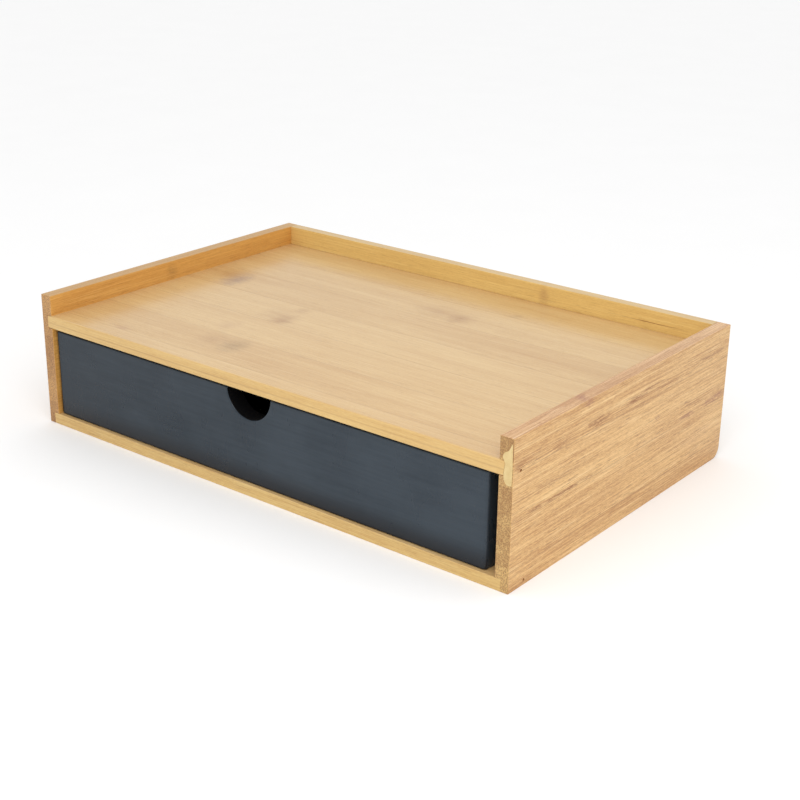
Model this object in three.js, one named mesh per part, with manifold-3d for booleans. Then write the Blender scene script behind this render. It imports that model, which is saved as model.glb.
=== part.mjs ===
// A bamboo desktop organiser: an open tray on top of one shallow drawer.
//
// Units are millimetres and +Z is up. The origin is the centre of the underside, +X is to the
// right of someone facing the drawer, and the drawer front faces -Y.
import * as THREE from "three";
import { mergeVertices } from "three/addons/utils/BufferGeometryUtils.js";
import Module from "manifold-3d";

const wasm = await Module();
wasm.setup();

// ---- Driving dimensions ----------------------------------------------------------------------

const WIDTH = 250;
const DEPTH = 160;
const HEIGHT = 60;

const SIDE_THICKNESS = 6;
const BACK_THICKNESS = 5;
const SHELF_THICKNESS = 6;
const BOTTOM_THICKNESS = 5;
const LIP_HEIGHT = 9; // how far the rim stands above the shelf
const HOUSING_DEPTH = 2.5; // how far shelf and bottom are let into the side panels
const HOUSING_END_GAP = 0.25;
const TONGUE_STEP = 0.25; // the shelf's tongues are this much thinner than the shelf
const REAR_EDGE_RADIUS = 5; // the case's lower rear edge is rounded

const DRAWER_WIDTH = 232.5; // 5.5 mm less than the opening, so it has play sideways
const DRAWER_SHIFT = -2.25; // it lies close to the left side of its opening
const DRAWER_TOP_GAP = 1;
const DRAWER_BOTTOM_GAP = 0.25;
const DRAWER_REAR_GAP = 0.25;
const DRAWER_RECESS = 1.5; // the drawer front sits this far behind the case's front edges
const DRAWER_FRONT_THICKNESS = 8;
const DRAWER_WALL = 5;
const DRAWER_WALL_DROP = 2; // the side and back walls are this much lower than the front
const DRAWER_REBATE = 4.5; // depth of the rebates that take the side walls' front ends
const DRAWER_EDGE_RADIUS = 2; // rounding of the front's upright edges
const DRAWER_CORNER_RADIUS = 1.5; // rounding of the front's lower corners
const BOARD_THICKNESS = 3;
const BOARD_RISE = 3; // the board's underside above the drawer's lower edge
const BOARD_GROOVE = 2.5;
const BOARD_GAP = 0.25;

const NOTCH_RADIUS = 11.75; // half-round finger notch in the drawer front
const NOTCH_CENTRE_ABOVE_EDGE = 0.5;

const BRAD_RADIUS = 0.6;
const BRAD_BORE_RADIUS = 0.9;
const BRAD_LENGTH = 16;
const BRAD_TIP = 1.5;
const BRAD_SUNK = 0.25; // heads are punched this far below the surface
const BRAD_SIDES = 8;

const FILLER_THICKNESS = 0.75;
const FILLER_GAP = 0.3;
const FILLER_SEGMENTS = 6; // curve steps between two rows of the putty's outline
// The putty patch on the right side panel's front end: height, inner edge, outer edge.
const FILLER_ROWS = [
  [57.4, 123.9, 124.2],
  [55.8, 123.1, 124.2],
  [54.2, 121.2, 124.2],
  [52.4, 120.4, 124.2],
  [51.2, 120.9, 124.2],
  [50.2, 121.7, 124.2],
  [48, 121.7, 124.2],
  [45, 121.7, 124.2],
  [43.4, 121.3, 124.2],
  [42.2, 122.1, 124],
];

const ARC_STEPS = 6; // steps in each quarter of a rounded corner
const NOTCH_STEPS = 24;
const OVERRUN = 1; // how far a cutting tool runs past the face that it cuts

// ---- Derived places --------------------------------------------------------------------------

const OUTER_X = WIDTH / 2;
const INNER_X = OUTER_X - SIDE_THICKNESS;
const HOUSING_X = INNER_X + HOUSING_DEPTH;
const FRONT_Y = -DEPTH / 2;
const REAR_Y = DEPTH / 2;
const BACK_Y = REAR_Y - BACK_THICKNESS;
const SHELF_TOP = HEIGHT - LIP_HEIGHT;
const SHELF_UNDER = SHELF_TOP - SHELF_THICKNESS;

const DRAWER_X = DRAWER_WIDTH / 2;
const DRAWER_INNER_X = DRAWER_X - DRAWER_WALL;
const DRAWER_LOW = BOTTOM_THICKNESS + DRAWER_BOTTOM_GAP;
const DRAWER_TOP = SHELF_UNDER - DRAWER_TOP_GAP;
const DRAWER_WALL_TOP = DRAWER_TOP - DRAWER_WALL_DROP;
const DRAWER_FACE_Y = FRONT_Y + DRAWER_RECESS;
const DRAWER_FRONT_REAR_Y = DRAWER_FACE_Y + DRAWER_FRONT_THICKNESS;
const REBATE_Y = DRAWER_FRONT_REAR_Y - DRAWER_REBATE;
const DRAWER_REAR_Y = BACK_Y - DRAWER_REAR_GAP;
const DRAWER_BACK_Y = DRAWER_REAR_Y - DRAWER_WALL;
const BOARD_LOW = DRAWER_LOW + BOARD_RISE;
const BOARD_TOP = BOARD_LOW + BOARD_THICKNESS;

// Brads go through the side panels and the drawer's side walls along X: name, y, z.
const CASE_BRADS = [
  ["shelf_front", FRONT_Y + 4.75, SHELF_UNDER + 1.75],
  ["shelf_rear", FRONT_Y + 132, SHELF_UNDER + 1.75],
  ["bottom_front", FRONT_Y + 9.75, 2],
  ["bottom_rear", FRONT_Y + 127, 2],
  ["back_lower", BACK_Y + BACK_THICKNESS / 2, 16],
  ["back_upper", BACK_Y + BACK_THICKNESS / 2, 43],
];
const DRAWER_FRONT_BRAD_Y = REBATE_Y + DRAWER_REBATE / 2;
const DRAWER_BACK_BRAD_Y = DRAWER_BACK_Y + DRAWER_WALL / 2;
const DRAWER_BRADS = [
  ["front_lower", DRAWER_FRONT_BRAD_Y, DRAWER_LOW + 11],
  ["front_upper", DRAWER_FRONT_BRAD_Y, DRAWER_LOW + 29],
  ["rear_lower", DRAWER_BACK_BRAD_Y, DRAWER_LOW + 11],
  ["rear_upper", DRAWER_BACK_BRAD_Y, DRAWER_LOW + 29],
];
const SIDES = [
  ["left", -1],
  ["right", 1],
];

// ---- Materials -------------------------------------------------------------------------------

const paint = (color, roughness, metalness = 0) =>
  new THREE.MeshStandardMaterial({ color, roughness, metalness });

const sideBamboo = paint(0xdcb582, 0.45);
const trayBamboo = paint(0xe0c08e, 0.35);
const backBamboo = paint(0xd8b070, 0.4);
const bottomBamboo = paint(0xdcbb80, 0.45);
const putty = paint(0xe4d28c, 0.8);
const steel = paint(0x8a7a68, 0.4, 0.8);
const slatePaint = paint(0x454c55, 0.4);

// ---- Solids ----------------------------------------------------------------------------------

// A closed geometry as a solid that can be cut.
function solidOf(geometry) {
  const bare = geometry.clone();
  bare.deleteAttribute("normal");
  bare.deleteAttribute("uv");
  const merged = mergeVertices(bare, 1e-4);
  return new wasm.Manifold(
    new wasm.Mesh({
      numProp: 3,
      vertProperties: merged.attributes.position.array,
      triVerts: new Uint32Array(merged.index.array),
    }),
  );
}

// A solid back as a geometry.
function geometryOf(solid) {
  const mesh = solid.getMesh();
  const geometry = new THREE.BufferGeometry();
  geometry.setAttribute("position", new THREE.BufferAttribute(mesh.vertProperties, 3));
  geometry.setIndex(new THREE.BufferAttribute(mesh.triVerts, 1));
  geometry.computeVertexNormals();
  return geometry;
}

// The geometry with every tool cut out of it.
function cut(geometry, tools) {
  let solid = solidOf(geometry);
  for (const tool of tools) {
    solid = solid.subtract(solidOf(tool));
  }
  return geometryOf(solid);
}

// What two geometries share.
function common(first, second) {
  return geometryOf(solidOf(first).intersect(solidOf(second)));
}

// A box between two corners.
function box([x0, y0, z0], [x1, y1, z1]) {
  const geometry = new THREE.BoxGeometry(x1 - x0, y1 - y0, z1 - z0);
  return geometry.translate((x0 + x1) / 2, (y0 + y1) / 2, (z0 + z1) / 2);
}

// An outline drawn in Y and Z, extruded along +X from x0.
function extrudeAlongX(shape, x0, length) {
  const geometry = extrude(shape, length);
  const turn = new THREE.Matrix4().makeBasis(
    new THREE.Vector3(0, 1, 0),
    new THREE.Vector3(0, 0, 1),
    new THREE.Vector3(1, 0, 0),
  );
  return geometry.applyMatrix4(turn).translate(x0, 0, 0);
}

// An outline drawn in X and Z, extruded along Y from y0 back to y0 + length.
function extrudeAlongY(shape, y0, length) {
  const geometry = extrude(shape, length);
  const turn = new THREE.Matrix4().makeBasis(
    new THREE.Vector3(1, 0, 0),
    new THREE.Vector3(0, 0, 1),
    new THREE.Vector3(0, -1, 0),
  );
  return geometry.applyMatrix4(turn).translate(0, y0 + length, 0);
}

function extrude(shape, depth) {
  return new THREE.ExtrudeGeometry(shape, { depth, bevelEnabled: false, curveSegments: ARC_STEPS });
}

// A turned pin or bore along X. It starts at x and runs towards the middle.
function pinAlongX(side, x, y, z, radius, length, tip) {
  const profile = [
    new THREE.Vector2(0, 0),
    new THREE.Vector2(radius, 0),
    new THREE.Vector2(radius, length - tip),
    new THREE.Vector2(0, length),
  ];
  const geometry = new THREE.LatheGeometry(profile, BRAD_SIDES);
  return geometry.rotateZ((side * Math.PI) / 2).translate(side * x, y, z);
}

const brad = (side, x, y, z) =>
  pinAlongX(side, x - BRAD_SUNK, y, z, BRAD_RADIUS, BRAD_LENGTH, BRAD_TIP);

const bradBore = (side, x, y, z) =>
  pinAlongX(side, x + OVERRUN, y, z, BRAD_BORE_RADIUS, BRAD_LENGTH + 2 * OVERRUN, BRAD_TIP);

// Bores for every brad of one or both sides whose name starts with one of the prefixes.
function bradBores(brads, faceX, sides, prefixes = [""]) {
  const wanted = brads.filter(([name]) => prefixes.some((prefix) => name.startsWith(prefix)));
  return sides.flatMap((side) => wanted.map(([, y, z]) => bradBore(side, faceX, y, z)));
}

// ---- Case ------------------------------------------------------------------------------------

// The side's outline in Y and Z, with its lower rear corner rounded.
function sideOutline() {
  const shape = new THREE.Shape();
  const centreY = REAR_Y - REAR_EDGE_RADIUS;
  shape.moveTo(FRONT_Y, 0);
  shape.lineTo(centreY, 0);
  shape.absarc(centreY, REAR_EDGE_RADIUS, REAR_EDGE_RADIUS, -Math.PI / 2, 0, false);
  shape.lineTo(REAR_Y, HEIGHT);
  shape.lineTo(FRONT_Y, HEIGHT);
  shape.closePath();
  return shape;
}

// A side panel: side is -1 for left and 1 for right.
function sidePanel(side) {
  const inner = side * INNER_X;
  const outer = side * OUTER_X;
  const board = extrudeAlongX(sideOutline(), Math.min(inner, outer), SIDE_THICKNESS);
  const housings = [
    [SHELF_UNDER, SHELF_TOP],
    [-OVERRUN, BOTTOM_THICKNESS],
  ].map(([low, high]) => {
    const from = side * (INNER_X - OVERRUN);
    const to = side * HOUSING_X;
    return box(
      [Math.min(from, to), FRONT_Y - OVERRUN, low],
      [Math.max(from, to), BACK_Y, high],
    );
  });
  const bores = bradBores(CASE_BRADS, OUTER_X, [side]);
  const pocket = side > 0 ? [fillerSolid(FILLER_GAP, FRONT_Y - OVERRUN)] : [];
  return cut(board, [...housings, ...bores, ...pocket]);
}

function backPanel() {
  const board = box([-INNER_X, BACK_Y, 0], [INNER_X, REAR_Y, HEIGHT]);
  const profile = extrudeAlongX(sideOutline(), -INNER_X, 2 * INNER_X);
  const bores = bradBores(CASE_BRADS, OUTER_X, [-1, 1], ["back"]);
  return cut(common(board, profile), bores);
}

// The shelf, with slightly thinner tongues where its ends go into the side panels.
function trayShelf() {
  const reach = HOUSING_X - HOUSING_END_GAP;
  const board = box([-reach, FRONT_Y, SHELF_UNDER], [reach, BACK_Y, SHELF_TOP]);
  const steps = [-1, 1].map((side) => {
    const from = side * INNER_X;
    const to = side * (reach + OVERRUN);
    return box(
      [Math.min(from, to), FRONT_Y - OVERRUN, SHELF_TOP - TONGUE_STEP],
      [Math.max(from, to), BACK_Y + OVERRUN, SHELF_TOP + OVERRUN],
    );
  });
  const bores = bradBores(CASE_BRADS, OUTER_X, [-1, 1], ["shelf"]);
  return cut(board, [...steps, ...bores]);
}

function bottomPanel() {
  const reach = HOUSING_X - HOUSING_END_GAP;
  const board = box([-reach, FRONT_Y, 0], [reach, BACK_Y, BOTTOM_THICKNESS]);
  return cut(board, bradBores(CASE_BRADS, OUTER_X, [-1, 1], ["bottom"]));
}

// The putty patch, or with a gap the pocket that it fills. It starts at frontY.
function fillerSolid(gap, frontY) {
  const last = FILLER_ROWS.length - 1;
  const rows = FILLER_ROWS.map(([z, inner, outer], i) => [
    z + (i === 0 ? gap : 0) - (i === last ? gap : 0),
    inner - gap,
    outer + gap,
  ]);
  const innerEdge = rows.map(([z, inner]) => new THREE.Vector2(inner, z));
  const outerEdge = rows.map(([z, , outer]) => new THREE.Vector2(outer, z)).reverse();
  const steps = last * FILLER_SEGMENTS;
  const shape = new THREE.Shape([
    ...new THREE.SplineCurve(innerEdge).getPoints(steps),
    ...new THREE.SplineCurve(outerEdge).getPoints(last),
  ]);
  return extrudeAlongY(shape, frontY, FRONT_Y + FILLER_THICKNESS + gap - frontY);
}

// ---- Drawer ----------------------------------------------------------------------------------

// The front seen from above: rounded upright edges, and a rebate behind each end.
function drawerFrontPlan() {
  const shape = new THREE.Shape();
  const arcX = DRAWER_X - DRAWER_EDGE_RADIUS;
  const arcY = DRAWER_FACE_Y + DRAWER_EDGE_RADIUS;
  shape.moveTo(-arcX, DRAWER_FACE_Y);
  shape.lineTo(arcX, DRAWER_FACE_Y);
  shape.absarc(arcX, arcY, DRAWER_EDGE_RADIUS, -Math.PI / 2, 0, false);
  shape.lineTo(DRAWER_X, REBATE_Y);
  shape.lineTo(DRAWER_INNER_X, REBATE_Y);
  shape.lineTo(DRAWER_INNER_X, DRAWER_FRONT_REAR_Y);
  shape.lineTo(-DRAWER_INNER_X, DRAWER_FRONT_REAR_Y);
  shape.lineTo(-DRAWER_INNER_X, REBATE_Y);
  shape.lineTo(-DRAWER_X, REBATE_Y);
  shape.lineTo(-DRAWER_X, arcY);
  shape.absarc(-arcX, arcY, DRAWER_EDGE_RADIUS, Math.PI, 1.5 * Math.PI, false);
  return shape;
}

// The front seen from the front: rounded lower corners.
function drawerFrontElevation() {
  const shape = new THREE.Shape();
  const arcX = DRAWER_X - DRAWER_CORNER_RADIUS;
  const arcZ = DRAWER_LOW + DRAWER_CORNER_RADIUS;
  shape.moveTo(-arcX, DRAWER_LOW);
  shape.lineTo(arcX, DRAWER_LOW);
  shape.absarc(arcX, arcZ, DRAWER_CORNER_RADIUS, -Math.PI / 2, 0, false);
  shape.lineTo(DRAWER_X, DRAWER_TOP);
  shape.lineTo(-DRAWER_X, DRAWER_TOP);
  shape.lineTo(-DRAWER_X, arcZ);
  shape.absarc(-arcX, arcZ, DRAWER_CORNER_RADIUS, Math.PI, 1.5 * Math.PI, false);
  return shape;
}

function fingerNotch() {
  const length = DRAWER_FRONT_THICKNESS + 2 * OVERRUN;
  const geometry = new THREE.CylinderGeometry(NOTCH_RADIUS, NOTCH_RADIUS, length, 2 * NOTCH_STEPS);
  const y = (DRAWER_FACE_Y + DRAWER_FRONT_REAR_Y) / 2;
  return geometry.translate(0, y, DRAWER_TOP + NOTCH_CENTRE_ABOVE_EDGE);
}

// The groove that holds the drawer's board, as one slab that reaches into all four walls.
function boardGroove() {
  const x = DRAWER_INNER_X + BOARD_GROOVE;
  return box(
    [-x, DRAWER_FRONT_REAR_Y - BOARD_GROOVE, BOARD_LOW],
    [x, DRAWER_BACK_Y + BOARD_GROOVE, BOARD_TOP + BOARD_GAP],
  );
}

function drawerFront() {
  const plan = extrude(drawerFrontPlan(), DRAWER_TOP - DRAWER_LOW).translate(0, 0, DRAWER_LOW);
  const elevation = extrudeAlongY(
    drawerFrontElevation(),
    DRAWER_FACE_Y - OVERRUN,
    DRAWER_FRONT_THICKNESS + 2 * OVERRUN,
  );
  const bores = bradBores(DRAWER_BRADS, DRAWER_X, [-1, 1], ["front"]);
  return cut(common(plan, elevation), [fingerNotch(), boardGroove(), ...bores]);
}

function drawerSide(side) {
  const inner = side * DRAWER_INNER_X;
  const outer = side * DRAWER_X;
  const wall = box(
    [Math.min(inner, outer), REBATE_Y, DRAWER_LOW],
    [Math.max(inner, outer), DRAWER_REAR_Y, DRAWER_WALL_TOP],
  );
  return cut(wall, [boardGroove(), ...bradBores(DRAWER_BRADS, DRAWER_X, [side])]);
}

function drawerBack() {
  const wall = box(
    [-DRAWER_INNER_X, DRAWER_BACK_Y, DRAWER_LOW],
    [DRAWER_INNER_X, DRAWER_REAR_Y, DRAWER_WALL_TOP],
  );
  return cut(wall, [boardGroove(), ...bradBores(DRAWER_BRADS, DRAWER_X, [-1, 1], ["rear"])]);
}

function drawerBoard() {
  const x = DRAWER_INNER_X + BOARD_GROOVE - BOARD_GAP;
  return box(
    [-x, DRAWER_FRONT_REAR_Y - BOARD_GROOVE + BOARD_GAP, BOARD_LOW],
    [x, DRAWER_BACK_Y + BOARD_GROOVE - BOARD_GAP, BOARD_TOP],
  );
}

// ---- Assembly --------------------------------------------------------------------------------

function addPiece(group, name, geometry, material) {
  const mesh = new THREE.Mesh(geometry, material);
  mesh.name = name;
  group.add(mesh);
}

function buildCase() {
  const group = new THREE.Group();
  addPiece(group, "left_side_panel", sidePanel(-1), sideBamboo);
  addPiece(group, "right_side_panel", sidePanel(1), sideBamboo);
  addPiece(group, "back_panel", backPanel(), backBamboo);
  addPiece(group, "tray_shelf", trayShelf(), trayBamboo);
  addPiece(group, "bottom_panel", bottomPanel(), bottomBamboo);
  addPiece(group, "joint_filler", fillerSolid(0, FRONT_Y), putty);
  for (const [sideName, side] of SIDES) {
    for (const [place, y, z] of CASE_BRADS) {
      addPiece(group, `brad_${sideName}_${place}`, brad(side, OUTER_X, y, z), steel);
    }
  }
  return group;
}

function buildDrawer() {
  const group = new THREE.Group();
  group.position.x = DRAWER_SHIFT;
  addPiece(group, "drawer_front", drawerFront(), slatePaint);
  addPiece(group, "drawer_left_side", drawerSide(-1), slatePaint);
  addPiece(group, "drawer_right_side", drawerSide(1), slatePaint);
  addPiece(group, "drawer_back", drawerBack(), slatePaint);
  addPiece(group, "drawer_bottom", drawerBoard(), slatePaint);
  for (const [sideName, side] of SIDES) {
    for (const [place, y, z] of DRAWER_BRADS) {
      addPiece(group, `drawer_brad_${sideName}_${place}`, brad(side, DRAWER_X, y, z), steel);
    }
  }
  return group;
}

const organiser = new THREE.Group();
organiser.add(buildCase(), buildDrawer());

export default organiser;
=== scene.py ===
"""Looks for a bamboo desktop organiser: glued bamboo panels, a putty patch, brads and a painted drawer.

Everything is in the CAD frame, in metres: +X to the right, -Y to the front, +Z up, with the
origin under the middle. Materials measure in millimetres, because their detail is that small.
"""

import math

import bmesh
import bpy
from mathutils import Matrix, Vector
from mathutils.geometry import interpolate_bezier


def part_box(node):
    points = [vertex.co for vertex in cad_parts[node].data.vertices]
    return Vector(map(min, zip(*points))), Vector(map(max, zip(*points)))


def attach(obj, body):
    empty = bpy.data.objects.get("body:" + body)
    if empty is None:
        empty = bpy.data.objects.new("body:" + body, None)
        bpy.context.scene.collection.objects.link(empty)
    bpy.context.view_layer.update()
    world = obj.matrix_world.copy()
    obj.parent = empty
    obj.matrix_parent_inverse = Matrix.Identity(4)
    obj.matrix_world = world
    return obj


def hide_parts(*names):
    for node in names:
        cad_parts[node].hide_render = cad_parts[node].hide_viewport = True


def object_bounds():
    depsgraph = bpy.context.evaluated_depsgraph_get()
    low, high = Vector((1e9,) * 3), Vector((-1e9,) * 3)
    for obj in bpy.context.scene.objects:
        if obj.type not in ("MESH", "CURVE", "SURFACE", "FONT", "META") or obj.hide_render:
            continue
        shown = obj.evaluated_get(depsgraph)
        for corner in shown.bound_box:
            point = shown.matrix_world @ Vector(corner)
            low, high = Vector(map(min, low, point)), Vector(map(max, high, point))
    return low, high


MM = 0.001

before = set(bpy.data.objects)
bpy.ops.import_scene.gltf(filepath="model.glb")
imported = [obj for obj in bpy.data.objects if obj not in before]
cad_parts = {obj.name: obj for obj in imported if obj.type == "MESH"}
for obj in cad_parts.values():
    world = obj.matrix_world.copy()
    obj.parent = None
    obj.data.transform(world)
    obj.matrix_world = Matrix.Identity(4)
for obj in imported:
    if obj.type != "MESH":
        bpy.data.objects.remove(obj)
cad_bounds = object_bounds()

# ---- Places, from the frame ------------------------------------------------------------------

CASE_LOW, CASE_HIGH = cad_bounds
SHELF_LOW, SHELF_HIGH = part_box("tray_shelf")
BOTTOM_LOW, BOTTOM_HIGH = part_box("bottom_panel")
BACK_LOW, BACK_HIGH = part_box("back_panel")
FRONT_LOW, FRONT_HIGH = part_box("drawer_front")
WALL_LOW, WALL_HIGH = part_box("drawer_right_side")
REAR_LOW, REAR_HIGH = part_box("drawer_back")
BOARD_LOW, BOARD_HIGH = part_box("drawer_bottom")
PUTTY_LOW, PUTTY_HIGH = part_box("joint_filler")

INNER_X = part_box("right_side_panel")[0].x  # the side panels' inner faces

# ---- Edges and details -----------------------------------------------------------------------

HOUSING_DEPTH = 2.5 * MM  # how far the shelf and the bottom reach into the side panels
HOUSING_X = INNER_X + HOUSING_DEPTH
REAR_EDGE_RADIUS = 5 * MM  # the case's lower rear corners
BOARD_EDGE = 0.25 * MM  # sanded edges of the case
SHELF_NOSE = 0.7 * MM  # the shelf's front edges
JOINT_EDGE = 0.12 * MM  # the hairline where two boards meet
DRAWER_UPRIGHT_EDGE = 1.4 * MM  # this and the next two are the drawer front's
DRAWER_LOWER_EDGE = 0.5 * MM
DRAWER_UPPER_EDGE = 0.7 * MM
NOTCH_RADIUS = 11.75 * MM
NOTCH_RISE = 0.5 * MM  # the notch's centre above the drawer front's top edge
WALL_EDGE = 0.6 * MM  # the top edges of the drawer's sides and back
DRAWER_BOARD_EDGE = 0.3 * MM
PUTTY_EDGE = 0.2 * MM
ARC_STEPS = 12
CURVE_STEPS = 5  # between two points of the putty's outline
BORE_SEGMENTS = 20
PIN_SEGMENTS = 16
PUTTY_CLEARANCE = 0.02 * MM  # between the putty and its pocket
CLOSE = 0.02 * MM  # places this near each other count as the same
WELD_DISTANCE = 1e-6
BEVEL_ANGLE = math.radians(30)  # edges sharper than this can be rounded
SMOOTH_ANGLE = math.radians(38)  # edges flatter than this are shaded smooth
BRAD_RADIUS = 0.6 * MM
BRAD_HOLE_RADIUS = 0.63 * MM
BRAD_DEPTH = 0.1 * MM  # the heads are punched this far below the surface
BORE_MARGIN = 1.2 * MM  # what a bore's cutter has outside the wood and past the brad's tip
BARE_HEADS = ("shelf_front", "bottom_front")  # the other brads in the case are filled over

# The camera: where it looks, from which side in degrees, how far away, and its lens in mm.
CAMERA_AIM = Vector((10.08, 2.78, 19.81)) * MM
CAMERA_AZIMUTH = 38.16
CAMERA_ELEVATION = 21.65
CAMERA_ROLL = 0.81
CAMERA_DISTANCE = 0.6471
CAMERA_LENS = 66.95

# Light: an even white surrounding, a floor that glows a little, and a soft lamp at the right front.
WORLD_STRENGTH = 0.96
FLOOR_GLOW = 0.07
FLOOR_REACH = 8.0
FLOOR_THICKNESS = 0.01
FLOOR_STEPS = 119  # of 3 degrees each
LAMP_PLACE = (0.3, -0.35, 0.45)
LAMP_AIM = (0, 0, 0.03)
LAMP_SIZE = 0.4
LAMP_POWER = 1.12


# ---- Mesh helpers ----------------------------------------------------------------------------


def object_from(name, bm):
    """A new object in the scene with the finished bmesh."""
    bmesh.ops.recalc_face_normals(bm, faces=bm.faces)
    mesh = bpy.data.meshes.new(name)
    bm.to_mesh(mesh)
    bm.free()
    piece = bpy.data.objects.new(name, mesh)
    bpy.context.scene.collection.objects.link(piece)
    return piece


def prism(name, outline, axis, low, high):
    """An outline swept along an axis; its points are the other two coordinates, in X, Y, Z order."""
    bm = bmesh.new()

    def corner(point, depth):
        place = list(point)
        place.insert("XYZ".index(axis), depth)
        return bm.verts.new(place)

    ends = [[corner(point, depth) for point in outline] for depth in (low, high)]
    for ring in ends:
        bm.faces.new(ring)
    for i in range(len(outline)):
        j = (i + 1) % len(outline)
        bm.faces.new((ends[0][i], ends[0][j], ends[1][j], ends[1][i]))
    return object_from(name, bm)


def block(name, low, high):
    """A plain board between two corners, for rounding and cutting."""
    outline = [(low[0], low[1]), (high[0], low[1]), (high[0], high[1]), (low[0], high[1])]
    return prism(name, outline, "Z", low[2], high[2])


def arc(centre, radius, start, end, steps=ARC_STEPS):
    """Points on an arc, with its angles in degrees."""
    angles = [math.radians(start + (end - start) * i / steps) for i in range(steps + 1)]
    return [(centre[0] + radius * math.cos(a), centre[1] + radius * math.sin(a)) for a in angles]


def turned(name, profile, centre, side, segments):
    """A lathed piece along X; profile is (inward distance, radius), side -1 or 1 for the end it starts at."""
    bm = bmesh.new()
    rings = []
    for inward, radius in profile:
        x = centre[0] - side * inward
        if radius == 0:
            rings.append([bm.verts.new((x, centre[1], centre[2]))])
            continue
        turn = [2 * math.pi * i / segments for i in range(segments)]
        rings.append(
            [
                bm.verts.new((x, centre[1] + radius * math.cos(a), centre[2] + radius * math.sin(a)))
                for a in turn
            ]
        )
    for first, second in zip(rings, rings[1:]):
        for i in range(segments):
            j = (i + 1) % segments
            corners = [first[i % len(first)], first[j % len(first)], second[j % len(second)]]
            corners.append(second[i % len(second)])
            bm.faces.new(list(dict.fromkeys(corners)))
    return object_from(name, bm)


def settle(piece):
    """Turns the piece's modifiers into its mesh."""
    depsgraph = bpy.context.evaluated_depsgraph_get()
    mesh = bpy.data.meshes.new_from_object(piece.evaluated_get(depsgraph))
    piece.modifiers.clear()
    piece.data = mesh


def carve(piece, cutters, operation="DIFFERENCE"):
    """Cuts the cutters out of the piece, or keeps what it shares with them, and deletes them."""
    for cutter in cutters:
        modifier = piece.modifiers.new("carve", "BOOLEAN")
        modifier.operation = operation
        modifier.solver = "EXACT"
        modifier.object = cutter
        settle(piece)
        bpy.data.objects.remove(cutter)


def round_edges(piece, wanted, radius, segments=3):
    """Rounds each sharp edge whose middle is wanted."""
    bm = bmesh.new()
    bm.from_mesh(piece.data)
    bmesh.ops.remove_doubles(bm, verts=bm.verts, dist=WELD_DISTANCE)
    sharp = [e for e in bm.edges if e.is_manifold and e.calc_face_angle() > BEVEL_ANGLE]
    edges = [e for e in sharp if wanted((e.verts[0].co + e.verts[1].co) / 2)]
    bmesh.ops.bevel(
        bm,
        geom=edges,
        offset=radius,
        offset_type="OFFSET",
        segments=segments,
        profile=0.5,
        affect="EDGES",
        clamp_overlap=True,
    )
    bm.to_mesh(piece.data)
    bm.free()


def near(value, target, within=CLOSE):
    return abs(value - target) < within


def finish_piece(piece, body, slot, material, *nodes):
    """Smooths the shading, gives the piece its material and body, and hides the nodes it stands for.
    slot is not used.
    """
    piece.data.materials.clear()
    piece.data.materials.append(material)
    piece.data.shade_smooth()
    piece.data.set_sharp_from_angle(angle=SMOOTH_ANGLE)
    shading = piece.modifiers.new("shading", "WEIGHTED_NORMAL")
    shading.keep_sharp = True
    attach(piece, body)
    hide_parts(*nodes)


# ---- Material helpers ------------------------------------------------------------------------

# The numbers of the Mix node's sockets for colours.
MIX_FIRST = 6
MIX_SECOND = 7
MIX_RESULT = 2


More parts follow.
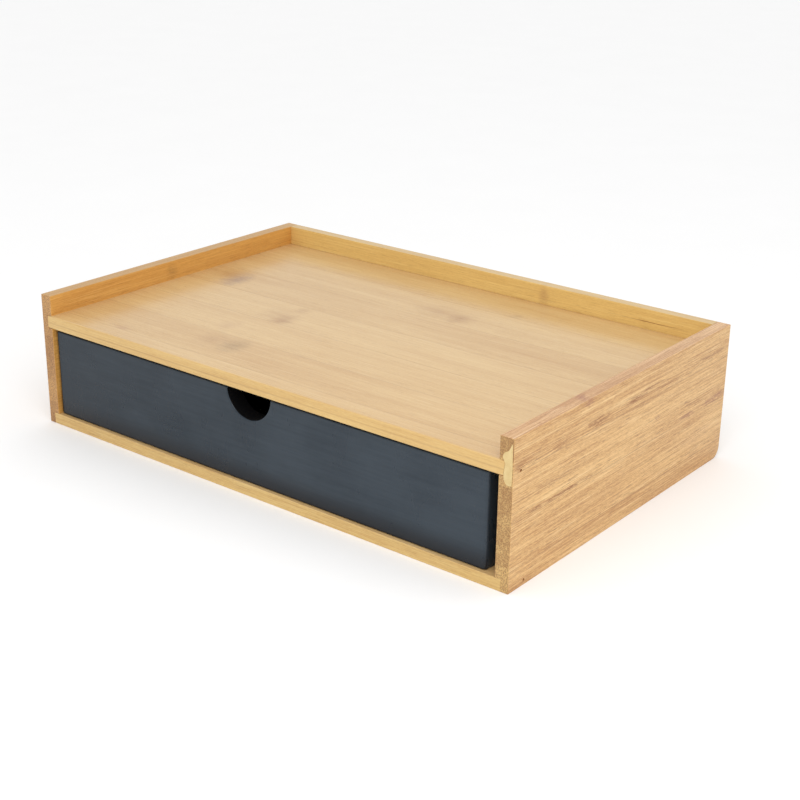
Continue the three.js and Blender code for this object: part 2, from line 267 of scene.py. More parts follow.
class Shader:
    """A material under construction, with short names for the nodes that the finishes use."""

    def __init__(self, name):
        self.material = bpy.data.materials.new(name)
        self.material.use_nodes = True
        self.tree = self.material.node_tree
        self.surface = self.tree.nodes["Principled BSDF"]
        coordinates = self.tree.nodes.new("ShaderNodeTexCoord")
        self.normal = coordinates.outputs["Normal"]
        self.place = self.scale(coordinates.outputs["Object"], 1 / MM)

    def node(self, kind, inputs=None, **settings):
        made = self.tree.nodes.new("ShaderNode" + kind)
        for key, value in settings.items():
            setattr(made, key, value)
        for key, value in (inputs or {}).items():
            self.join(made.inputs[key], value)
        return made

    def join(self, socket, value):
        """Links a socket, or sets a plain value."""
        if isinstance(value, bpy.types.NodeSocket):
            self.tree.links.new(value, socket)
        else:
            socket.default_value = value

    def math(self, operation, first, second=0.0, clamp=False):
        made = self.node("Math", {0: first, 1: second}, operation=operation, use_clamp=clamp)
        return made.outputs[0]

    def clamp(self, value):
        return self.math("ADD", value, 0.0, clamp=True)

    def weighted(self, offset, *terms):
        """The offset plus each value times its weight."""
        total = offset
        for value, weight in terms:
            made = self.node("Math", {0: value, 1: weight, 2: total}, operation="MULTIPLY_ADD")
            total = made.outputs[0]
        return total

    def scale(self, vector, factor):
        return self.node("VectorMath", {0: vector, "Scale": factor}, operation="SCALE").outputs["Vector"]

    def split(self, vector):
        return self.node("SeparateXYZ", {0: vector}).outputs[:]

    def combine(self, x, y, z):
        return self.node("CombineXYZ", {0: x, 1: y, 2: z}).outputs[0]

    def noise(self, vector, detail=2.0, roughness=0.5, distortion=0.0):
        inputs = {"Vector": vector, "Scale": 1.0, "Detail": detail, "Roughness": roughness}
        inputs["Distortion"] = distortion
        return self.node("TexNoise", inputs).outputs["Fac"]

    def random(self, value, salt):
        """A random number from 0 to 1 that is the same for equal values."""
        shifted = self.math("ADD", value, salt)
        return self.node("TexWhiteNoise", {"W": shifted}, noise_dimensions="1D").outputs["Value"]

    def step(self, value, low, high):
        """Rises smoothly from 0 at low to 1 at high; low may be above high."""
        inputs = {"Value": value, "From Min": low, "From Max": high}
        return self.node("MapRange", inputs, interpolation_type="SMOOTHSTEP").outputs[0]

    def mix(self, factor, first, second, blend="MIX"):
        """Blends two colours, through the node's sockets for colours."""
        made = self.node("Mix", data_type="RGBA", blend_type=blend)
        self.join(made.inputs["Factor"], factor)
        self.join(made.inputs[MIX_FIRST], first)
        self.join(made.inputs[MIX_SECOND], second)
        return made.outputs[MIX_RESULT]

    def bump(self, height, distance_mm, strength):
        inputs = {"Height": height, "Distance": distance_mm * MM, "Strength": strength}
        self.join(self.surface.inputs["Normal"], self.node("Bump", inputs).outputs[0])


def srgb(red, green, blue):
    """A colour given in 0 to 255 as it looks on a screen."""

    def linear(value):
        value /= 255
        return value / 12.92 if value <= 0.04045 else ((value + 0.055) / 1.055) ** 2.4

    return (linear(red), linear(green), linear(blue), 1.0)


# ---- Bamboo ----------------------------------------------------------------------------------

# The fibres' features: length along the grain and width across it in mm, detail, roughness.
BROAD = (80.0, 8.0, 2.0, 0.5)
LINES = (46.0, 0.36, 2.0, 0.6)
SHORT = (8.0, 0.28, 2.0, 0.65, 0.1)  # and a little distortion
TICKS = (1.6, 0.3, 1.0, 0.5)
PATCHES = (30.0, 2.6, 2.0, 0.5)
WANDER = (6.0, 3.0, 3.0, 0.6)
SHINE = (30.0, 0.4, 2.0, 0.6)

SHINE_STRENGTH = 0.7
BUNDLE_STRENGTH = 0.55
SEAM_STRENGTH = 0.3
DOT_STRENGTH = 0.55

GLUE_LINE = (0.26, 0.06)  # mm from a glue line's middle: where it begins, and where it is full
PLY_LINE = (0.5, 0.1)  # the same for the glue line along a board's long edges
LAYER_HEIGHT = 10.3  # the layers that show in the end grain, in mm
CLOUD_CELL = (5.0, 3.0)  # the end grain's light and dark clouds, in mm
BUNDLE_CELL = (0.72, 0.6)  # one fibre bundle in the end grain, in mm
FACING = (0.6, 0.85)  # how squarely a face must look along an axis to count as facing it
STRIP_SHIFT = 400.0  # how far, in mm, a strip's fibres can be shifted along it


class Strips(Shader):
    """Bamboo strips glued side by side, with places measured along and across their fibres."""

    def __init__(self, name, grain, across, seam, width, salt):
        """grain and across are axis names; seam places one glue line and width is one strip's, in mm."""
        super().__init__(name)
        axes = dict(zip("XYZ", self.split(self.place)))
        self.along, self.side = axes[grain], axes[across]
        through = ({"X", "Y", "Z"} - {grain, across}).pop()
        self.through = axes[through]
        facing = dict(zip("XYZ", self.split(self.normal)))
        sides = (self.math("ABSOLUTE", facing[axis]) for axis in (grain, across))
        self.on_end, self.on_edge = (self.step(side, *FACING) for side in sides)
        self.facing_through = facing[through]
        self.seam, self.width, self.salt = seam, width, salt
        self.position = self.math("DIVIDE", self.math("SUBTRACT", self.side, seam), width)
        self.number = self.math("FLOOR", self.position)
        self.tone = self.random(self.number, salt)
        self.start = self.weighted(self.along, (self.random(self.number, salt + 11.3), STRIP_SHIFT))

    def streaks(self, length, width, detail, roughness, distortion=0.0):
        """Noise drawn out along the grain, different in each strip; length and width are in mm."""
        vector = self.combine(
            self.math("DIVIDE", self.start, length),
            self.math("DIVIDE", self.side, width),
            self.math("DIVIDE", self.through, width),
        )
        return self.noise(vector, detail, roughness, distortion)

    def glue_line(self):
        """1 on the glue lines between the strips."""
        distance = self.math("MULTIPLY", self.math("PINGPONG", self.position, 0.5), self.width)
        return self.step(distance, *GLUE_LINE)

    def mark(self, along, across, half_length, half_width, wander, softness):
        """1 inside an oval, and 0 in every other strip; softness goes from ragged, 0, to blurred, 1."""
        du = self.math("DIVIDE", self.math("SUBTRACT", self.along, along), half_length)
        dv = self.math("DIVIDE", self.math("SUBTRACT", self.side, across), half_width)
        squared = self.math("ADD", self.math("MULTIPLY", du, du), self.math("MULTIPLY", dv, dv))
        ragged = 1.6 - softness  # how far the wander moves the outline
        whole = 0.3 - 0.5 * softness  # nearer than this the mark has its full strength
        distance = self.weighted(-0.5 * ragged, (self.math("SQRT", squared), 1.0), (wander, ragged))
        inside = self.step(distance, 1.0, whole)
        strip = math.floor((across - self.seam) / self.width)
        same = self.node("Math", {0: self.number, 1: strip, 2: 0.1}, operation="COMPARE").outputs[0]
        return self.math("MULTIPLY", inside, same)

    def scaled(self, side, through, last=0.0):
        """The place across the fibres, with a cell of the given size in mm as one unit."""
        return self.combine(
            self.math("DIVIDE", self.side, side),
            self.math("DIVIDE", self.through, through),
            last,
        )

    def end_grain(self, pale, dark, pore):
        """The fibre bundles' cut ends: dots on mottled pith, a little lighter or darker in each layer."""
        mottle = self.noise(self.combine(self.side, self.through, self.salt), 3.0, 0.7)
        clouds = self.noise(self.scaled(*CLOUD_CELL, self.salt))
        layer = self.random(self.math("FLOOR", self.math("DIVIDE", self.side, LAYER_HEIGHT)), self.salt + 5.0)
        # The offset brings the sum's average near 0.5.
        shade = self.weighted(-1.3, (mottle, 1.9), (clouds, 0.9), (layer, 0.75))
        pith = self.mix(self.clamp(shade), pale, dark)
        inputs = {"Vector": self.scaled(*BUNDLE_CELL), "Scale": 1.0}
        cells = self.node("TexVoronoi", inputs, voronoi_dimensions="2D")
        dot = self.step(cells.outputs["Distance"], 0.46, 0.2)
        return self.mix(self.math("MULTIPLY", dot, DOT_STRENGTH), pith, pore)


def stained(s, colour, marks, smooth_marks, short, ticks):
    """The colour with the stains and growth nodes on it, partly as plain tints and partly as dashes."""
    wander = s.streaks(*WANDER)
    # The dashes follow the fibres that are there already.
    dashes = s.step(s.weighted(0.0, (short, 0.6), (ticks, 0.4)), 0.41, 0.53)
    share = s.weighted(smooth_marks, (dashes, 1.0 - smooth_marks))
    for along, across, half_length, half_width, strength, stain in marks:
        inside = s.mark(along, across, half_length, half_width, wander, smooth_marks)
        amount = s.math("MULTIPLY", s.math("MULTIPLY", inside, share), strength)
        colour = s.mix(amount, colour, srgb(*stain))
    return colour


def faced(s, colour, outer, edge_tint_and_sheen, ply, broad, dark):
    """The colour with the outer face's and the long edges' tints, and the glue line on the edges.
    On the panels' top faces the edge tint is partly painted sheen.
    """
    if outer:
        sign, tint = outer
        on_outside = s.step(s.math("MULTIPLY", s.facing_through, sign), *FACING)
        colour = s.mix(on_outside, colour, (*tint, 1.0), "MULTIPLY")
    # On the side and back panels' top faces this tint is partly painted sheen.
    edge = s.mix(1.0, colour, (*edge_tint_and_sheen, 1.0), "MULTIPLY")
    if ply is not None:
        line = s.step(s.math("ABSOLUTE", s.math("SUBTRACT", s.through, ply)), *PLY_LINE)
        edge = s.mix(s.math("MULTIPLY", line, s.weighted(-0.1, (broad, 0.7))), edge, dark)
    return s.mix(s.on_edge, colour, edge)


def bamboo(name, grain, across, seam, width, salt, colours, end_colours, marks=(), busy=1.0,
           smooth_marks=0.3, edge_tint_and_sheen=(1, 1, 1), outer=None, ply=None, roughness=0.38, ior=1.48):
    """Varnished bamboo.

    colours are light wood, deep wood, pale fibre and dark fibre; end_colours are pale, dark and
    pore. busy scales the contrast of the fibres. Each mark is a stain or growth node: along,
    across, half length, half width, strength, colour. smooth_marks is the share of a mark that
    is a plain tint, and the rest is dashes. edge_tint_and_sheen multiplies the colour on the
    board's long edges, and on the side and back panels' top faces its paler tint is partly
    painted sheen; ply places a glue line along the long edges. outer is the sign of the face that
    looks out of the case, and a tint for it, which takes that face back towards plain bamboo where
    the colours carry painted bounce light for the inner face.
    """
    s = Strips(name, grain, across, seam, width, salt)
    light, deep, pale, dark = (srgb(*colour) for colour in colours)

    features = (BROAD, LINES, SHORT, TICKS, PATCHES)
    broad, lines, short, ticks, patches = (s.streaks(*feature) for feature in features)

    # Every layer averages 0.5, so the offset centres their sum on 0.5.
    layers = ((s.tone, 0.18), (broad, 0.8), (lines, 2.2 * busy), (short, 1.3 * busy), (ticks, 1.3 * busy))
    depth = s.weighted(0.5 - 0.5 * sum(weight for _, weight in layers), *layers)
    colour = s.mix(s.clamp(depth), light, deep)

    shine = s.step(s.streaks(*SHINE), 0.55, 0.68)
    colour = s.mix(s.math("MULTIPLY", shine, SHINE_STRENGTH * busy), colour, pale)

    # Dark bundles lie in patches, and thickest along the lower edge of each strip.
    up_the_strip = s.math("FRACT", s.position)
    crowding = s.math("ADD", s.step(up_the_strip, 0.45, 0.0), s.step(patches, 0.45, 0.7))
    # The more they crowd, the less dark a short fibre has to be to count as one.
    threshold = s.weighted(0.655, (crowding, -0.055))
    bundle = s.step(s.math("SUBTRACT", short, threshold), -0.02, 0.08)
    colour = s.mix(s.math("MULTIPLY", bundle, BUNDLE_STRENGTH * busy), colour, dark)

    seam_line = s.glue_line()
    colour = s.mix(s.math("MULTIPLY", seam_line, SEAM_STRENGTH), colour, dark)
    colour = stained(s, colour, marks, smooth_marks, short, ticks)
    colour = faced(s, colour, outer, edge_tint_and_sheen, ply, broad, dark)
    colour = s.mix(s.on_end, colour, s.end_grain(*(srgb(*c) for c in end_colours)))

    s.join(s.surface.inputs["Base Color"], colour)
    s.surface.inputs["Roughness"].default_value = roughness
    s.surface.inputs["IOR"].default_value = ior
    s.bump(s.weighted(0.0, (lines, 0.6), (bundle, -0.5), (seam_line, -1.0)), 0.03, 0.5)
    return s.material


# ---- Other finishes --------------------------------------------------------------------------


PAINT_DARK = (15, 31, 43)
PAINT_PALE = (45, 56, 66)
# Painted shade: the colour the face darkens to at its foot, for the floor's contact shadow in its gloss.
PAINT_FOOT_SHADE = (8, 15, 24)
FOOT_SHADE_HEIGHTS = (16.0, 6.0)  # in mm: where the painted shade at the face's foot starts, and where it is darkest


def slate_paint(name):
    """Sprayed dark paint, whose slate look is mostly its gloss: mottled, with painted light
    towards the right and painted shade at the face's foot.
    """
    s = Shader(name)
    x, y, z = s.split(s.place)

    def stretched(*sizes):
        """The place, with a cell of these sizes in mm as one unit."""
        return s.combine(*(s.math("DIVIDE", value, size) for value, size in zip((x, y, z), sizes)))

    cloud = s.noise(s.scale(s.place, 0.035), 3.0, 0.6)
    wipes = s.noise(stretched(9.0, 9.0, 40.0), 3.0, 0.65)
    grain = s.noise(stretched(22.0, 1.2, 1.2), 3.0, 0.6)
    peel = s.noise(s.scale(s.place, 1.1), 2.0, 0.5)

    # The x term is painted light: the paint grows lighter towards the right, where its gloss catches more
    # light.
    # cloud and grain are the paint's own mottle.
    tint = s.weighted(0.0, (cloud, 0.6), (grain, 0.4), (x, 0.0014))
    body = s.mix(s.step(tint, 0.2, 0.8), srgb(*PAINT_DARK), srgb(*PAINT_PALE))
    # Painted shade: the face darkens towards its foot, for the floor's contact shadow that its gloss
    # reflects.
    face = FRONT_LOW.y / MM
    on_face = s.step(y, face + 1.5, face + 0.5)
    body = s.mix(s.math("MULTIPLY", s.step(z, *FOOT_SHADE_HEIGHTS), on_face), body, srgb(*PAINT_FOOT_SHADE))

    s.join(s.surface.inputs["Base Color"], body)
    s.surface.inputs["IOR"].default_value = 1.43
    s.join(s.surface.inputs["Roughness"], s.weighted(0.03, (cloud, 0.28), (wipes, 0.26)))
    s.bump(s.weighted(0.0, (peel, 0.6), (grain, 0.5)), 0.008, 0.4)
    return s.material


def notch_shade_black(name):
    """Matt near-black for the finger notch's wall: painted shade for the dark inside of the notch."""
    s = Shader(name)
    fibres = s.noise(s.scale(s.place, 1.5), 3.0, 0.6)
    s.join(s.surface.inputs["Base Color"], s.mix(fibres, srgb(4, 4, 5), srgb(14, 14, 16)))
    s.surface.inputs["Roughness"].default_value = 0.9
    s.surface.inputs["Specular IOR Level"].default_value = 0.1
    s.bump(fibres, 0.05, 0.5)
    return s.material


def putty(name):
    """Sanded wood filler: pale, sandy and unvarnished."""
    s = Shader(name)
    grit = s.noise(s.scale(s.place, 3.5), 3.0, 0.7)
    smear = s.noise(s.scale(s.place, 0.45), 2.0, 0.5)
    clean, dirty = srgb(218, 194, 140), srgb(202, 173, 117)
    blend = s.weighted(0.0, (grit, 0.6), (smear, 0.5))
    s.join(s.surface.inputs["Base Color"], s.mix(s.step(blend, 0.35, 0.8), clean, dirty))
    s.surface.inputs["Roughness"].default_value = 0.75
    s.bump(grit, 0.06, 0.6)
    return s.material


def brad_metal(name, colour, metallic):
    """Brad heads dulled by varnish or paint."""
    s = Shader(name)
    marks = s.noise(s.scale(s.place, 4.0), 3.0, 0.6)
    base = srgb(*colour)
    darker = [c * 0.5 for c in base[:3]] + [1.0]
    s.join(s.surface.inputs["Base Color"], s.mix(s.step(marks, 0.35, 0.7), base, darker))
    s.surface.inputs["Metallic"].default_value = metallic
    s.join(s.surface.inputs["Roughness"], s.weighted(0.35, (marks, 0.3)))
    s.bump(marks, 0.03, 0.5)
    return s.material


# Stains and growth nodes: along, across, half length, half width, strength, colour.
SMOKE = (118, 88, 46)
BROWN = (142, 86, 34)
PLUM = (122, 94, 88)
MAUVE = (150, 94, 70)
TRAY_MARKS = [
    (-39, -18, 8, 11, 0.5, BROWN),
    (-46, -14, 12, 12, 0.22, BROWN),
    (-41, -3, 6, 6, 0.25, BROWN),
    (19, 33, 9, 11, 0.42, BROWN),
    (6, 35, 18, 11, 0.26, BROWN),
    (-96, 11, 9, 15, 0.6, PLUM),
    (-104, 16, 12, 12, 0.3, BROWN),
    (-32, -56, 9, 12, 0.45, SMOKE),
    (-44, -56, 11, 11, 0.25, BROWN),
    (-84, -71, 6, 5, 0.3, MAUVE),
    (36, 52, 5, 6, 0.2, SMOKE),
    (-52, -38, 8, 9, 0.18, MAUVE),
]
RIGHT_MARKS = [
    (-24, 49.3, 11, 2.1, 0.8, BROWN),
    (-50, 48.0, 14, 1.2, 0.5, BROWN),
    (-75, 49.0, 8, 2.6, 0.5, BROWN),
    (3, 49.6, 11, 1.3, 0.95, BROWN),
    (14, 51.2, 9, 0.7, 0.75, BROWN),
    (31, 48.9, 9, 1.0, 0.6, BROWN),
    (62, 50.6, 24, 1.5, 0.7, BROWN),
    (-46, 28.3, 40, 0.8, 0.9, BROWN),
    (-55, 35.0, 40, 2.2, 0.45, BROWN),
    (22, 36.2, 3.5, 2.2, 0.4, MAUVE),
    (47, 29.2, 8, 1.9, 0.5, MAUVE),
    (71, 29.9, 14, 2.3, 0.6, MAUVE),
    (56, 17.5, 24, 3.5, 0.2, MAUVE),
    (-32, 59.0, 5, 2.5, 0.6, MAUVE),
]
LEFT_MARKS = [(-8, 55.0, 5, 6, 0.3, SMOKE), (40, 24.0, 7, 4, 0.5, SMOKE), (-48, 38.0, 9, 2, 0.6, MAUVE)]
BACK_MARKS = [
    (35, 55, 4, 7, 0.4, MAUVE),
    (90, 54.4, 24, 0.35, 0.9, BROWN),
    (-62, 22, 6, 9, 0.4, SMOKE),
]
BOTTOM_MARKS = [(48, -30, 6, 9, 0.4, SMOKE), (-70, 25, 5, 10, 0.35, SMOKE)]

# Light wood, deep wood, pale fibre, dark fibre.
SIDE_COLOURS = ((227, 186, 125), (181, 131, 76), (235, 201, 145), (122, 79, 44))
# Painted bounce light: the left colours are partly the wood's tone and partly warm light bounced onto the
# inner lip.
LEFT_COLOURS_WITH_BOUNCE = ((225, 171, 90), (195, 136, 64), (231, 186, 112), (129, 82, 40))
TRAY_COLOURS = ((219, 187, 133), (192, 151, 97), (227, 200, 151), (144, 105, 67))
# Painted light: the back colours are partly the wood's tone and partly the brighter light on the inner lip.
BACK_COLOURS_WITH_BOUNCE = ((240, 206, 129), (210, 170, 98), (244, 217, 148), (147, 104, 56))
# End grain: pale, dark, pore.
END_COLOURS = ((208, 171, 109), (164, 122, 72), (113, 75, 41))
LEFT_END_COLOURS = ((199, 152, 92), (150, 103, 58), (105, 66, 36))

# The panels' edge tints pale and cool their top faces: partly the wood's tone, partly painted sheen.
right_wood = bamboo(
    "bamboo_right", grain="Y", across="Z", seam=8.5, width=18.9, salt=3.7,
    colours=SIDE_COLOURS, end_colours=END_COLOURS, marks=RIGHT_MARKS,
    edge_tint_and_sheen=(0.98, 0.98, 1.18),
)
left_wood = bamboo(
    "bamboo_left", grain="Y", across="Z", seam=12.0, width=18.9, salt=64.1,
    colours=LEFT_COLOURS_WITH_BOUNCE, end_colours=LEFT_END_COLOURS, marks=LEFT_MARKS,
    busy=0.6, smooth_marks=0.7, edge_tint_and_sheen=(0.81, 0.91, 1.2), outer=(-1, (0.84, 0.93, 1.5)),
)
tray_wood = bamboo(
    "bamboo_tray", grain="X", across="Y", seam=-47.5, width=24.4, salt=21.1,
    colours=TRAY_COLOURS, end_colours=END_COLOURS, marks=TRAY_MARKS,
    busy=0.45, smooth_marks=0.85, edge_tint_and_sheen=(1.03, 1.01, 0.81), ply=47.6, roughness=0.24, ior=1.55,
)
back_wood = bamboo(
    "bamboo_back", grain="X", across="Z", seam=9.0, width=21.0, salt=37.9,
    colours=BACK_COLOURS_WITH_BOUNCE, end_colours=END_COLOURS, marks=BACK_MARKS,
    busy=0.5, smooth_marks=0.7, edge_tint_and_sheen=(0.84, 0.865, 1.16), outer=(1, (0.86, 0.84, 1.1)),
)
bottom_wood = bamboo(
    "bamboo_bottom", grain="X", across="Y", seam=-66.0, width=22.5, salt=51.3,
    colours=TRAY_COLOURS, end_colours=END_COLOURS, marks=BOTTOM_MARKS,
    busy=0.7, edge_tint_and_sheen=(1.0, 1.0, 0.81),
)
drawer_paint = slate_paint("drawer_paint")
# The notch's wall takes painted shade: a matt black for the dark inside of the notch.
notch_painted_shade = notch_shade_black("notch_painted_shade")
filler_putty = putty("putty")
bare_brad = brad_metal("brad_steel", (168, 84, 50), 0.2)
painted_brad = brad_metal("brad_painted", (44, 50, 58), 0.0)


# ---- Case ------------------------------------------------------------------------------------


def side_outline():
    """A side panel in Y and Z, with its lower rear corner rounded."""
    radius = REAR_EDGE_RADIUS
    front, rear, top = CASE_LOW.y, CASE_HIGH.y, CASE_HIGH.z
    corner = arc((rear - radius, radius), radius, -90, 0)
    return [(front, 0), *corner, (rear, top), (front, top)]


def brads_through(piece, endings=("",)):
    """Cutters for the bores of the brads that reach into the piece's box and whose names have an ending.

    With the empty ending, which every name has, all of those brads count.
    """
    low = Vector([min(v.co[i] for v in piece.data.vertices) for i in range(3)])
    high = Vector([max(v.co[i] for v in piece.data.vertices) for i in range(3)])
    cutters = []
    for node in (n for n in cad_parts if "brad_" in n and n.endswith(endings)):
        brad_low, brad_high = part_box(node)
        centre = (brad_low + brad_high) / 2
        inside = all(low[i] < centre[i] < high[i] for i in (1, 2))
        if inside and brad_high.x > low.x and brad_low.x < high.x:
            side = 1 if centre.x > 0 else -1
            start = (side * (max(abs(brad_low.x), abs(brad_high.x)) + MM), centre.y, centre.z)
            length = brad_high.x - brad_low.x + BORE_MARGIN
            profile = [(0, 0), (0, BRAD_HOLE_RADIUS), (length, BRAD_HOLE_RADIUS), (length, 0)]
            cutters.append(turned("bore", profile, start, side, BORE_SEGMENTS))
    return cutters


def side_panel(side):
    """A side panel, grooved for the shelf and rebated for the bottom. side is -1 or 1."""
    name = "right" if side > 0 else "left"
    across = sorted((side * INNER_X, side * CASE_HIGH.x))
    piece = prism(name + "_side_board", side_outline(), "X", *across)
    housing = sorted((side * (INNER_X - MM), side * HOUSING_X))
    for low, high in ((SHELF_LOW.z, SHELF_HIGH.z), (-MM, BOTTOM_HIGH.z)):
        cutter = block(
            "housing",
            (housing[0], CASE_LOW.y - MM, low),
            (housing[1], BACK_LOW.y, high),
        )
        carve(piece, [cutter])

    def in_joint(middle):
        return abs(middle.x) < HOUSING_X + 0.01 * MM and not near(abs(middle.x), INNER_X)

    def at_housing_mouth(middle):
        levels = (SHELF_LOW.z, SHELF_HIGH.z, BOTTOM_HIGH.z)
        return near(abs(middle.x), INNER_X) and any(near(middle.z, level) for level in levels)

    def outside(middle):
        return not in_joint(middle) and not at_housing_mouth(middle)

    round_edges(piece, outside, BOARD_EDGE)
    return piece


def build_sides():
    """Both side panels; of the case's brads, only the bare ones have holes in them."""
    for side, name, wood in ((-1, "left", left_wood), (1, "right", right_wood)):
        piece = side_panel(side)
        if side > 0:
            carve(piece, [putty_pocket()])
        carve(piece, brads_through(piece, BARE_HEADS))
        finish_piece(piece, "case", "bamboo_side", wood, name + "_side_panel")


def build_shelf():
    low, high = (-HOUSING_X, SHELF_LOW.y, SHELF_LOW.z), (HOUSING_X, SHELF_HIGH.y, SHELF_HIGH.z)
    shelf = block("tray_board", low, high)
    round_edges(shelf, lambda m: near(m.y, SHELF_LOW.y) and near(m.x, 0), SHELF_NOSE, 4)
    carve(shelf, [putty_pocket(), *brads_through(shelf)])
    finish_piece(shelf, "case", "bamboo_tray", tray_wood, "tray_shelf")


def build_bottom():
    low, high = (-HOUSING_X, BOTTOM_LOW.y, BOTTOM_LOW.z), (HOUSING_X, BOTTOM_HIGH.y, BOTTOM_HIGH.z)
    bottom = block("bottom_board", low, high)
    round_edges(bottom, lambda m: near(m.y, BOTTOM_LOW.y) and near(m.x, 0), BOARD_EDGE)
    carve(bottom, brads_through(bottom))
    finish_piece(bottom, "case", "bamboo_bottom", bottom_wood, "bottom_panel")


def build_back():
    back = prism("back_board", side_outline(), "X", -INNER_X, INNER_X)
    keep = block("keep", (-INNER_X - MM, BACK_LOW.y, -MM), (INNER_X + MM, 1, 1))
    carve(back, [keep], "INTERSECT")
    round_edges(back, lambda m: near(m.z, BACK_HIGH.z) and near(m.x, 0), BOARD_EDGE)
    round_edges(back, lambda m: near(abs(m.x), INNER_X), JOINT_EDGE, 2)
    carve(back, brads_through(back))
    finish_piece(back, "case", "bamboo_back", back_wood, "back_panel")


def build_putty():
    patch = putty_patch("putty_patch", grow=0.0, front=0.0)
    round_edges(patch, lambda m: near(m.y, PUTTY_LOW.y), PUTTY_EDGE)
    finish_piece(patch, "case", "putty", filler_putty, "joint_filler")


def build_case():
    build_sides()
    build_shelf()
    build_bottom()
    build_back()
    build_putty()


def putty_pocket():
    """The cutter for the pocket, a hair wider than the putty and past the boards' front."""
    return putty_patch("pocket", grow=PUTTY_CLEARANCE, front=-MM)


def putty_patch(name, grow, front):
    """The filler smeared over the shelf joint: a drop with one bulge, narrow at the top."""
    shape_mm = [
        (124.3, 57.8), (123.3, 56.1), (122.5, 54.9), (121.2, 54.2), (120.45, 52.9), (120.4, 51.9),
        (121.0, 50.8), (121.35, 49.7), (121.15, 48.1), (120.95, 46.6), (120.9, 44.8),
        (121.3, 43.2), (122.1, 42.2), (123.5, 41.9), (124.4, 42.5), (124.6, 46.0), (124.55, 52.0),
    ]
    points = [Vector(point) * MM for point in shape_mm]
    middle = sum(points, Vector((0, 0))) / len(points)
    points = [p + (p - middle).normalized() * grow for p in points]
    smooth = []
    for i, point in enumerate(points):
        before, after, beyond = points[i - 1], points[(i + 1) % len(points)], points[(i + 2) % len(points)]
        handles = (point + (after - before) / 6, after - (beyond - point) / 6)
        smooth += interpolate_bezier(point, *handles, after, CURVE_STEPS)[:-1]
    outline = [(p.x, p.y) for p in smooth]
    return prism(name, outline, "Y", PUTTY_LOW.y + front, PUTTY_HIGH.y + grow)


# ---- Drawer ----------------------------------------------------------------------------------


def drawer_front():
    """The painted front: a notch in its top edge, rebates behind its ends, and a face with rounded edges."""
    left, right, low, top = FRONT_LOW.x, FRONT_HIGH.x, FRONT_LOW.z, FRONT_HIGH.z
    face, behind = FRONT_LOW.y, FRONT_HIGH.y
    middle_x = (left + right) / 2
    rise = math.degrees(math.asin(NOTCH_RISE / NOTCH_RADIUS))
    notch = arc((middle_x, top + NOTCH_RISE), NOTCH_RADIUS, -rise, rise - 180, 4 * ARC_STEPS)
    outline = [(left, low), (right, low), (right, top), *notch, (left, top)]
    piece = prism("drawer_front_board", outline, "Y", face, behind)
    for start, end in ((left - MM, REAR_LOW.x), (REAR_HIGH.x, right + MM)):
        carve(piece, [block("rebate", (start, WALL_LOW.y, low - MM), (end, behind + MM, top + MM))])
    groove_high = (BOARD_HIGH.x, behind + MM, BOARD_HIGH.z)
    carve(piece, [block("groove", BOARD_LOW, groove_high)])

    def at_end(middle):
        return near(middle.y, face) and (near(middle.x, left) or near(middle.x, right))

    def at_foot(middle):
        return near(middle.z, low) and middle.y < WALL_LOW.y - 0.1 * MM

    def at_top(middle):
        """The front's top edge and the notch's edge, but nothing near the rear face or the groove."""
        above_groove = middle.z > low + 15 * MM
        in_notch = above_groove and abs(middle.x - middle_x) < NOTCH_RADIUS + 0.1 * MM
        return near(middle.y, face, 3 * MM) and (in_notch or near(middle.z, top))

    round_edges(piece, at_end, DRAWER_UPRIGHT_EDGE, 6)
    round_edges(piece, at_foot, DRAWER_LOWER_EDGE, 4)
    round_edges(piece, at_top, DRAWER_UPPER_EDGE, 3)
    return piece


def shade_notch_wall(front):
    """Gives the notch's wall its own material, the black of painted shade."""
    front.data.materials.append(notch_painted_shade)
    centre = Vector(((FRONT_LOW.x + FRONT_HIGH.x) / 2, FRONT_HIGH.z + NOTCH_RISE))
    for face in front.data.polygons:
        reach = (Vector((face.center.x, face.center.z)) - centre).length
        on_wall = abs(face.normal.y) < 0.3  # not the rounded edge in front of it
        if near(reach, NOTCH_RADIUS, 0.1 * MM) and on_wall:
            face.material_index = 1


def drawer_walls():
    """The two sides and the back, with the nodes that they stand for."""
    nodes = ("drawer_left_side", "drawer_right_side", "drawer_back")
    return [(block(node + "_wall", *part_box(node)), node) for node in nodes]


def build_drawer():
    front = drawer_front()
    carve(front, brads_through(front))
    finish_piece(front, "drawer", "drawer_paint", drawer_paint, "drawer_front")
    shade_notch_wall(front)
    for wall, node in drawer_walls():
        round_edges(wall, lambda m: near(m.z, WALL_HIGH.z), WALL_EDGE)
        carve(wall, [block("groove", BOARD_LOW, BOARD_HIGH)])
        carve(wall, brads_through(wall))
        finish_piece(wall, "drawer", "drawer_paint", drawer_paint, node)
    board = block("drawer_board", BOARD_LOW, BOARD_HIGH)
    round_edges(board, lambda m: True, DRAWER_BOARD_EDGE, 2)
    finish_piece(board, "drawer", "drawer_paint", drawer_paint, "drawer_bottom")


def pin_profile(length):
    """A low domed head, a slightly thinner shank and a point, as distances from the head and radii."""
    shank = 0.8 * BRAD_RADIUS
    return [
        (0.0, 0.0),
        (0.02 * MM, 0.6 * BRAD_RADIUS),
        (0.12 * MM, BRAD_RADIUS),
        (0.7 * MM, BRAD_RADIUS),
        (0.9 * MM, shank),
        (length - 1.2 * MM, shank),
        (length, 0.0),
    ]


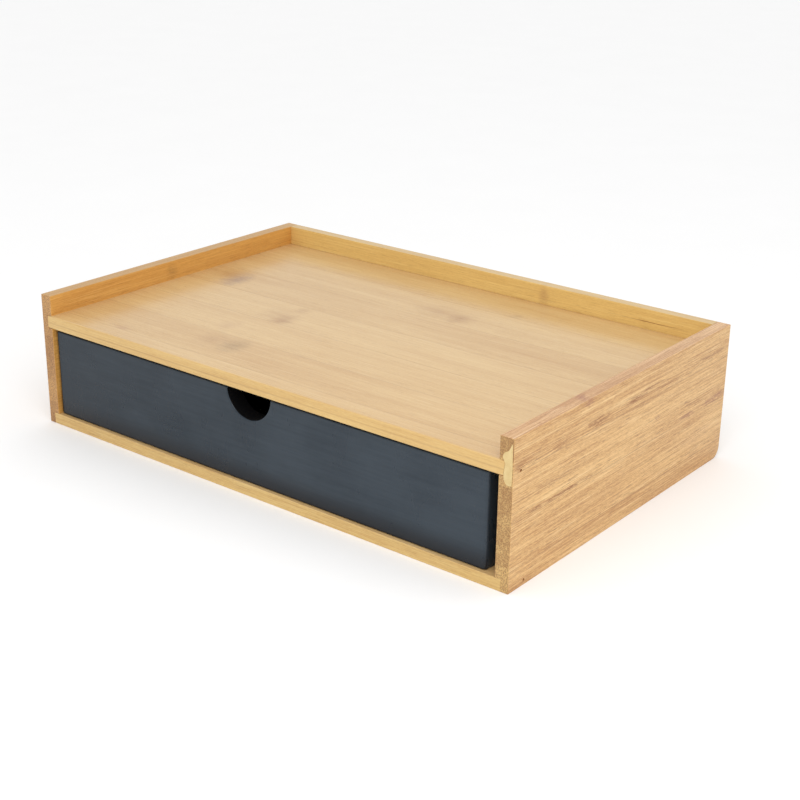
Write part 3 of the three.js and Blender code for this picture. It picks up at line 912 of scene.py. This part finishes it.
def build_brads():
    """Each brad as a pin that starts just below the surface."""
    for node in sorted(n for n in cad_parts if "brad_" in n):
        low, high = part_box(node)
        side = 1 if low.x > 0 else -1
        centre = (low + high) / 2
        start = (side * (max(abs(low.x), abs(high.x)) - BRAD_DEPTH), centre.y, centre.z)
        profile = pin_profile(high.x - low.x - BRAD_DEPTH)
        piece = turned(node + "_pin", profile, start, side, PIN_SEGMENTS)
        in_drawer = node.startswith("drawer")
        material = painted_brad if in_drawer else bare_brad
        slot = "brad_painted" if in_drawer else "brad_steel"
        finish_piece(piece, "drawer" if in_drawer else "case", slot, material, node)


# ---- Studio ----------------------------------------------------------------------------------


def build_floor():
    """A plain pale floor, well past the edges of every view."""
    s = Shader("floor")
    speck = s.noise(s.scale(s.place, 0.02), 2.0, 0.5)
    s.join(s.surface.inputs["Base Color"], s.mix(speck, (0.9, 0.9, 0.9, 1), (0.92, 0.92, 0.92, 1)))
    s.surface.inputs["Roughness"].default_value = 0.9
    s.surface.inputs["Specular IOR Level"].default_value = 0.1
    s.surface.inputs["Emission Color"].default_value = (1, 1, 1, 1)
    s.surface.inputs["Emission Strength"].default_value = FLOOR_GLOW
    rim = arc((0, 0), FLOOR_REACH, 0, 3 * FLOOR_STEPS, FLOOR_STEPS)
    floor = prism("floor", rim, "Z", -FLOOR_THICKNESS, 0.0)
    floor.data.materials.append(s.material)


def area_light(name, place, aim, size, power):
    data = bpy.data.lights.new(name, "AREA")
    data.shape = "DISK"
    data.size = size
    data.energy = power
    lamp = bpy.data.objects.new(name, data)
    lamp.location = place
    lamp.rotation_euler = (Vector(aim) - Vector(place)).to_track_quat("-Z", "Y").to_euler()
    bpy.context.scene.collection.objects.link(lamp)


def build_lights():
    world = bpy.data.worlds.new("studio")
    world.use_nodes = True
    background = world.node_tree.nodes["Background"]
    background.inputs["Color"].default_value = (1, 1, 1, 1)
    background.inputs["Strength"].default_value = WORLD_STRENGTH
    bpy.context.scene.world = world
    area_light("lamp", LAMP_PLACE, LAMP_AIM, LAMP_SIZE, LAMP_POWER)
    bpy.context.scene.view_settings.view_transform = "Standard"


def build_camera():
    azimuth, elevation = math.radians(CAMERA_AZIMUTH), math.radians(CAMERA_ELEVATION)
    back = Vector(
        (
            math.sin(azimuth) * math.cos(elevation),
            -math.cos(azimuth) * math.cos(elevation),
            math.sin(elevation),
        )
    )
    right = Vector((math.cos(azimuth), math.sin(azimuth), 0))
    up = back.cross(right)
    turn = Matrix((right, up, back)).transposed() @ Matrix.Rotation(math.radians(CAMERA_ROLL), 3, "Z")
    data = bpy.data.cameras.new("camera")
    data.lens = CAMERA_LENS
    data.clip_start = 0.01
    camera = bpy.data.objects.new("camera", data)
    camera.matrix_world = Matrix.Translation(CAMERA_AIM + back * CAMERA_DISTANCE) @ turn.to_4x4()
    bpy.context.scene.collection.objects.link(camera)
    bpy.context.scene.camera = camera


build_camera()
build_case()
build_drawer()
build_brads()
build_floor()
build_lights()
